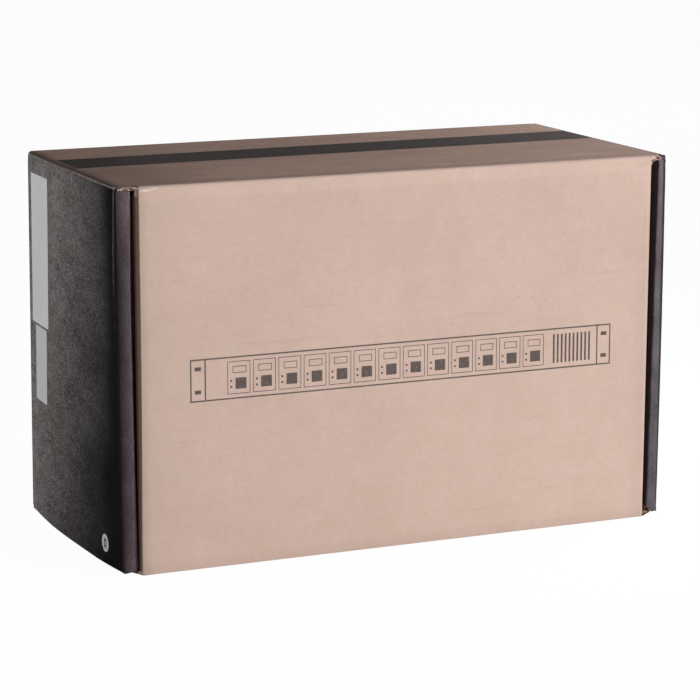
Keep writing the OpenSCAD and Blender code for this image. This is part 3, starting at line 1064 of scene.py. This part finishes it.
class CARTON_OT_side_rolls(Operator):
    """Makes the outer walls, the roll-over spines and the inner walls with their lock tabs"""
    bl_idname = "carton.side_rolls"
    bl_label = "Side walls"

    def execute(self, context):
        board = context.scene.carton_board
        for side, sign in SIDES:
            self.outer_wall(board, side, sign)
            self.spine(board, side, sign)
            self.inner_wall(side, sign)
        return {"FINISHED"}

    def outer_wall(self, board, side, sign):
        """Outer wall, with its outer paper drawn on up to the top."""
        low, high = node_box(f"outer_wall_{side}")
        low.z, high.z, crest = (at(0, 0, z).z for z in (0.4, 215.4, 217.9))
        wall = Stack().board(low, high, X, sign, Z, (f"dark_{side}", "inside_z"))
        face = low.x if sign < 0 else high.x - board.liner
        rim = Vector((face, low.y, high.z)), Vector((face + board.liner, high.y, crest))
        wall.add(flat_sheet(*rim, X, sign, board.fold_step), f"dark_{side}", board.liner)
        wall.shape(lifted, bowed, crumpled)
        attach(wall.piece(f"board_outer_wall_{side}", "dark_print", f"outer_wall_{side}"), "box")

    def spine(self, board, side, sign):
        """Roll-over spine, slanted at its lower end and clipped at its inner corners."""
        low, high = node_box(f"spine_{side}")
        inner_x, outer_x = (high.x, low.x) if sign < 0 else (low.x, high.x)
        foot, slant, top = SPINE_ENDS[side]
        low.z, high.z = at(0, 0, foot).z, at(0, 0, top).z
        slope = Vector((sign * slant * MM, 0, low.x - high.x)).normalized()
        clip, slant_share = inner_x + sign * 2.4 * MM, 0.6
        trims = [(Vector((outer_x, 0, low.z)), slope),
                 (Vector((clip, 0, low.z + slant * slant_share * MM)), Vector((-sign, 0, -1))),
                 (Vector((clip, 0, high.z)), Vector((-sign, 0, 1)))]
        folds = ((X, sign, board.outer_fold), (X, -sign, board.spine_fold))
        spine = Stack().board(low, high, Y, -1, Z, ("spine", "inside_z"), folds, trims,
                              step=board.fold_step, height=0.7 * MM)
        if sign > 0:
            rims = ((X, 1, board.outer_fold), (Z, 1, board.outer_fold))
            corner = turned_sheet(at(336.4, 0.7, 215.2), at(340, 2.8, 218.1), Y, -1, rims, board.fold_step)
            spine.add(corner, "spine", board.liner)
        spine.shape(wrinkled, pressed, bowed, crumpled)
        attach(spine.piece(f"board_spine_{side}", "dark_print", f"spine_{side}"), "box")

    def inner_wall(self, side, sign):
        """Inner wall, with two lock tabs that stand in the base's slots."""
        low, high = node_box(f"inner_wall_{side}")
        tabs = [at(0, 0, z + half).z for z in TAB_MIDDLES for half in (-TAB_HALF, TAB_HALF)]
        edges = [low.z - OVERRUN, *tabs, high.z + OVERRUN]
        gaps = [(Vector((0, BASE[0].y, z0)), Vector((0, high.y + OVERRUN, z1)), (Y, Z))
                for z0, z1 in zip(edges[::2], edges[1::2])]
        wall = Stack().board(low, high, X, -sign, Z, ("kraft_z", "inside_z"), windows=gaps)
        wall.shape(pressed, bowed, crumpled)
        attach(wall.piece(f"board_inner_wall_{side}", "kraft_inside", f"inner_wall_{side}"), "box")


# Height at which the lid's inner paper passes to the tuck flap's crease
LINER_FOOT = 12
# Mitres at the two ends of the tuck flap
FLAP_TRIMS = ((FLAP[0], Vector((-1, 1, 0))), (Vector((FLAP[1].x, *FLAP[0].yz)), Vector((1, 1, 0))))


def ear_trims(low, high):
    """The mitre below an ear and the taper above it."""
    return [(Vector((0, low.y, low.z)), Vector((0, 1, -1))),
            (Vector((0, low.y, high.z)), Vector((0, 10, 50)))]


class CARTON_OT_lid(Operator):
    """Makes the lid, the tuck flap and the two lid ears"""
    bl_idname = "carton.lid"
    bl_label = "Lid, tuck flap and ears"

    def execute(self, context):
        self.panel(context.scene.carton_board)
        start = at(0, CREASE_END, 0).y
        low, high = FLAP
        low = Vector((low.x, start, low.z))
        flap = Stack().board(low, high, Z, -1, Y, ("kraft_y", "inside_y"), trims=FLAP_TRIMS)
        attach(flap.piece("board_tuck_flap", "kraft_board", "tuck_flap"), "flap")
        for side, sign in SIDES:
            low, high = node_box(f"lid_ear_{side}")
            trims = ear_trims(low, high)
            low.y = start
            ear = Stack().board(low, high, X, sign, Z, ("gap", "inside_z"), trims=trims)
            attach(ear.piece(f"board_ear_{side}", "kraft_inside", f"lid_ear_{side}"), f"ear_{side}")
        return {"FINISHED"}

    def panel(self, board):
        """The lid itself: outer paper with its lower left corner torn off, inner paper and flutes."""
        low = Vector((at(LID_CREASE, 0, 0).x, LID[0].y, at(0, 0, 0.02).z))
        high = Vector((LID[1].x, LID[1].y, at(0, 0, LID_CREST).z))
        rims = ((X, -1, board.lid_fold), (X, 1, board.sharp_fold), (Z, -1, board.sharp_fold))
        tear_top, tear_way = at(0, 0, 3).z, Vector((-3.0, 0, -1.6)).normalized()
        outer = turned_sheet(low, high, Y, -1, rims, board.mesh_step)
        lid = Stack().add(outer, "kraft_lid", board.liner, [(Vector((low.x, 0, tear_top)), tear_way)])
        side, foot, fold = 0.3 * MM, at(0, 0, LINER_FOOT).z, board.lid_fold
        back = Vector((low.x + side, high.y, foot)), Vector((high.x - side, high.y, high.z))
        lid.add(flat_sheet(*back, Y, 1, board.mesh_step), "inside_z", board.liner)
        core = Vector((low.x + fold, low.y, low.z + fold)), Vector((high.x - fold, high.y, high.z))
        room = BOARD_T / 2 - board.liner - board.medium / 2
        lid.add(fluted_sheet(*core, Y, Z, room), "flute", board.medium)
        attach(lid.shape(settled).piece("board_lid", "kraft_board", "lid_panel"), "lid")


class CARTON_OT_creases(Operator):
    """Makes the folded board at the lid's hinge, at the tuck flap and at the two ears"""
    bl_idname = "carton.creases"
    bl_label = "Creases"

    def execute(self, context):
        self.hinge(context.scene.carton_board.hinge_fold)
        self.flap()
        for side, sign in SIDES:
            self.ear(side, sign)
        return {"FINISHED"}

    def hinge(self, fold):
        """From the back wall over the front top edge to the lid."""
        ends, t = (at(LID_CREASE, 0, 0).x, LID[1].x), BOARD_T / MM
        outer = [at(0, HINGE_END, HEIGHT), at(0, 0, HEIGHT), at(0, 0, LID_CREST)]
        inner = [at(0, HINGE_END, HEIGHT - t), at(0, t, HEIGHT - t), at(0, t, LID_CREST)]
        core = [at(0, HINGE_END, HEIGHT - t / 2), at(0, 1.7, HEIGHT - t / 2), at(0, 1.5, LID_CREST)]
        crease = Stack().fold(outer, X, ends, fold, AXES[Z], "kraft_top_lid")
        crease.fold(inner, X, ends, 0.4 * MM, -AXES[Z], "inside_z")
        crease.fold(core, X, ends, 0.8 * MM, AXES[Z], "flute")
        piece = crease.piece("crease_hinge", "kraft_board")
        at(0, 2.4, 218.5)
        at(0, 0, 216.1)
        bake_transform(piece)

    def flap(self):
        """From the lid's rolled lower edge to the tuck flap."""
        ends = (FLAP[0].x, FLAP[1].x)
        outer = [at(0, 2.6, 0.3), at(0, 3.6, 0.5), at(0, 6.0, 3.9), at(0, CREASE_END, 4.0)]
        crease = Stack().fold(outer, X, ends, 0.6 * MM, -AXES[Z], "kraft_y", FLAP_TRIMS)
        inner = [at(0, 2.8, LINER_FOOT), at(0, 2.8, 6.8), at(0, CREASE_END, 6.8)]
        crease.fold(inner, X, ends, 0.5 * MM, AXES[Y], "inside_y", FLAP_TRIMS)
        piece = crease.piece("crease_flap", "kraft_board")
        at(0, 2.8, 5)
        at(0, 8, 5)
        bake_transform(piece)

    def ear(self, side, sign):
        """From the lid's side fold to an ear."""
        low, high = node_box(f"lid_ear_{side}")
        trims, ends = ear_trims(low, high), (low.z, high.z)
        outer_x, inner_x = (low.x, high.x) if sign < 0 else (high.x, low.x)
        rim_x = at(LID_CREASE, 0, 0).x if sign < 0 else outer_x
        y_rim, y_end, y_in = at(0, 2.5, 0).y, at(0, CREASE_END, 0).y, LID[1].y
        outer = [Vector((rim_x, y_rim, 0)), Vector((outer_x, y_end, 0))]
        crease = Stack().fold(outer, Z, ends, MM, AXES[X] * sign, "gap", trims)
        corner = Vector((inner_x, y_in, 0))
        inner = [corner - AXES[X] * (sign * 3 * MM), corner, Vector((inner_x, y_end, 0))]
        crease.fold(inner, Z, ends, 0.5 * MM, AXES[Y], "inside_z", trims)
        piece = crease.piece(f"crease_ear_{side}", "kraft_board")
        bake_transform(piece)


class CARTON_OT_cushions(Operator):
    """Makes the two foam end cushions with their pockets"""
    bl_idname = "carton.cushions"
    bl_label = "End cushions"

    def execute(self, context):
        for side, sign in SIDES:
            stack = Stack().add(self.pocketed(*node_box(f"end_cushion_{side}"), sign), "foam", 0)
            piece = stack.piece(f"cushion_{side}", "foam", f"end_cushion_{side}")
            remesh = piece.modifiers.new("cells", "REMESH")
            remesh.mode, remesh.voxel_size, remesh.use_smooth_shade = "VOXEL", 2.6 * MM, True
            self.dent(piece, context)
            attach(piece, "box")
        return {"FINISHED"}

    def pocketed(self, low, high, sign):
        """Foam block with rounded long corners and a pocket on its inner face."""
        side_wall, end_wall, depth = 10 * MM, 24 * MM, 20 * MM
        block_radius, pocket_radius = 5 * MM, 8 * MM
        bm = block(low, high)
        rounded(bm, [e for e in bm.edges if abs(run_of(e).z) > block_radius], block_radius)
        y0, y1 = low.y + side_wall, high.y - side_wall
        z0, z1 = low.z + end_wall, high.z - end_wall
        face = max((f for f in bm.faces if f.normal.x * -sign > 0.99), key=lambda f: f.calc_area())
        geom = [face, *face.edges, *face.verts]
        for place, normal in ((y0, Y), (y1, Y), (z0, Z), (z1, Z)):
            parts = cut(bm, AXES[normal] * place, AXES[normal], geom)
            geom = list({*parts["geom"], *parts["geom_cut"]})
        bm.normal_update()
        inner = [f for f in bm.faces if f.normal.x * -sign > 0.99
                 and y0 < f.calc_center_median().y < y1 and z0 < f.calc_center_median().z < z1]
        sunk = bmesh.ops.extrude_face_region(bm, geom=inner)["geom"]
        bmesh.ops.delete(bm, geom=inner, context="FACES")
        shift(bm, sunk, AXES[X] * (depth * sign))
        y0, y1, z0, z1 = y0 - OVERRUN, y1 + OVERRUN, z0 - OVERRUN, z1 + OVERRUN
        corners = [e for e in bm.edges if abs(run_of(e).x) > depth / 2
                   and y0 < e.verts[0].co.y < y1 and z0 < e.verts[0].co.z < z1]
        rounded(bm, corners, pocket_radius)
        return bm

    def dent(self, piece, context):
        """Applies the remesh and gives the cut foam its uneven skin."""
        context.view_layer.update()
        shaped = piece.evaluated_get(context.evaluated_depsgraph_get())
        mesh = bpy.data.meshes.new_from_object(shaped)
        mesh.materials.clear()
        mesh.materials.append(LOOKS["foam"])
        piece.modifiers.clear()
        old, piece.data = piece.data, mesh
        bpy.data.meshes.remove(old)
        mesh.name = piece.name
        bm = bmesh.new()
        bm.from_mesh(mesh)
        bm.normal_update()
        sunk, uneven = 0.25 * MM, 0.5 * MM
        for v in bm.verts:
            wave = noise.noise(v.co * 40) * 0.5 + noise.noise(v.co * 160) * 0.25
            v.co -= v.normal * (sunk + wave * uneven)
        bm.to_mesh(mesh)
        bm.free()
        mesh.shade_smooth()


class CARTON_OT_labels(Operator):
    """Makes the two labels and the round seal on the left wall"""
    bl_idname = "carton.labels"
    bl_label = "Labels and seal"

    def execute(self, context):
        corner, strips = 0.9 * MM, 20
        for name in ("label_large", "label_small"):
            low, high = node_box(name)
            paper = flat_sheet(low, high, X, -1, step=(high - low).length)
            rounded(paper, paper.verts[:], corner, 4, "VERTICES")
            for axis in (Y, Z):
                for strip in range(1, strips):
                    place = low[axis] + (high[axis] - low[axis]) * strip / strips
                    cut(paper, AXES[axis] * place, AXES[axis])
            self.stick(paper, name, name, "label_paper")
        low, high = node_box("round_seal")
        paper = bmesh.new()
        place = Matrix.Translation((low + high) / 2) @ Matrix.Rotation(-math.pi / 2, 4, "Y")
        bmesh.ops.create_circle(paper, cap_ends=True, segments=64, radius=(high.z - low.z) / 2, matrix=place)
        paper.normal_update()
        face_along(paper, paper.faces[:][0], -AXES[X])
        self.stick(paper, "seal", "round_seal", "seal_paper")
        return {"FINISHED"}

    def stick(self, paper, look, node, slot):
        """Puts a thin paper on the left wall and bends it with the wall."""
        glue, thickness = 0.05 * MM, 0.14 * MM
        shift(paper, paper.verts, AXES[X] * -glue)
        stack = Stack().add(paper, look, thickness)
        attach(stack.shape(bowed).piece("paper_" + node, slot, node), "box")


class CARTON_OT_stage(Operator):
    """Makes the pale floor, the lamps and the even light"""
    bl_idname = "carton.stage"
    bl_label = "Floor and lights"

    def execute(self, context):
        stage = context.scene.carton_stage
        bm = bmesh.new()
        bmesh.ops.create_grid(bm, x_segments=2, y_segments=2, size=stage.floor)
        mesh = bpy.data.meshes.new("floor")
        bm.to_mesh(mesh)
        bm.free()
        floor = placed("floor", mesh)
        mesh.materials.append(self.pale_floor(stage))

        self.lamp("key", Vector((0.95, -2.2, 0.27)), 1.3, stage.key)
        self.lamp("fill", Vector((-2.0, 0.25, 0.22)), 1.0, stage.fill)
        self.lamp("side", Vector((0.52, 0.05, 0.26)), 0.3, stage.side)
        self.lamp("back", Vector((1.1, 1.9, 0.8)), 1.2, stage.back)
        self.sky(stage)
        context.scene.view_settings.view_transform = "Standard"
        return {"FINISHED"}

    def pale_floor(self, stage):
        """Pale floor that the camera sees almost pure white, with a faint shadow."""
        f = Finish("pale_floor", (0.8, 0.8, 0.8), roughness=0.9, specular=0.1)
        f.shade(0.99 + f.grain(3) * 0.02)
        white = f.node("Emission", {}, Strength=1.05)
        self.camera_mix(f.tree, stage.glow, f.shader, white.socket.node, "Material Output")
        return f.finish()

    def lamp(self, name, way, size, power):
        """A square soft lamp, some way off the carton's middle and facing it."""
        light = bpy.data.lights.new(name, "AREA")
        light.shape, light.size, light.energy = "SQUARE", size, power
        aimed(name, light, at(170, 84, 110) + way, -way)

    def sky(self, stage):
        """Even light from all round, in front of a white background."""
        world = bpy.data.worlds.new("studio")
        bpy.context.scene.world = world
        world.use_nodes = True
        nodes = world.node_tree.nodes
        even, white = nodes["Background"], nodes.new("ShaderNodeBackground")
        for background, strength in ((even, stage.sky), (white, 1.0)):
            background.inputs["Color"].default_value = (1, 1, 1, 1)
            background.inputs["Strength"].default_value = strength
        self.camera_mix(world.node_tree, 1.0, even, white, "World Output")

    def camera_mix(self, tree, share, plain, seen, output):
        """Shows the camera a share of a second shader, and every other ray the plain one."""
        ray, part, mix = (tree.nodes.new("ShaderNode" + kind) for kind in ("LightPath", "Math", "MixShader"))
        part.operation, part.inputs[1].default_value = "MULTIPLY", share
        for source, target in ((ray.outputs["Is Camera Ray"], part.inputs[0]),
                               (part.outputs[0], mix.inputs[0]),
                               (plain.outputs[0], mix.inputs[1]),
                               (seen.outputs[0], mix.inputs[2]),
                               (mix.outputs[0], tree.nodes[output].inputs["Surface"])):
            tree.links.new(source, target)


class CARTON_PT_panel(Panel):
    """The carton's pieces and settings"""
    bl_idname = "CARTON_PT_panel"
    bl_label = "Carton"
    bl_space_type = "VIEW_3D"
    bl_region_type = "UI"
    bl_category = "Carton"

    def draw(self, context):
        for group in GROUPS:
            box = self.layout.box()
            for name in GROUPS[group].__annotations__:
                box.prop(getattr(context.scene, group), name)
        for operator in OPERATORS:
            self.layout.operator(operator.bl_idname)


GROUPS = {"carton_board": CartonBoard, "carton_colours": CartonColours, "carton_stage": CartonStage}
OPERATORS = (CARTON_OT_camera, CARTON_OT_base, CARTON_OT_end_walls, CARTON_OT_corner_flaps,
             CARTON_OT_side_rolls, CARTON_OT_lid, CARTON_OT_creases, CARTON_OT_cushions,
             CARTON_OT_labels, CARTON_OT_stage)
LOOKS = {}


def register():
    for cls in (*GROUPS.values(), *OPERATORS, CARTON_PT_panel):
        bpy.utils.register_class(cls)
    for name, group in GROUPS.items():
        setattr(bpy.types.Scene, name, PointerProperty(type=group))


def unregister():
    for name in GROUPS:
        delattr(bpy.types.Scene, name)
    for cls in (CARTON_PT_panel, *reversed(OPERATORS), *GROUPS.values()):
        bpy.utils.unregister_class(cls)


def main():
    register()
    LOOKS.update(make_looks())
    LOOKS["kraft_top_lid"] = LOOKS["kraft_lid"]
    bpy.ops.carton.camera()
    bpy.ops.carton.base()
    bpy.ops.carton.end_walls()
    bpy.ops.carton.corner_flaps()
    bpy.ops.carton.side_rolls()
    bpy.ops.carton.lid()
    bpy.ops.carton.creases()
    bpy.ops.carton.cushions()
    bpy.ops.carton.labels()
    bpy.ops.carton.stage()
    bpy.context.view_layer.update()


if __name__ == "__main__":
    main()
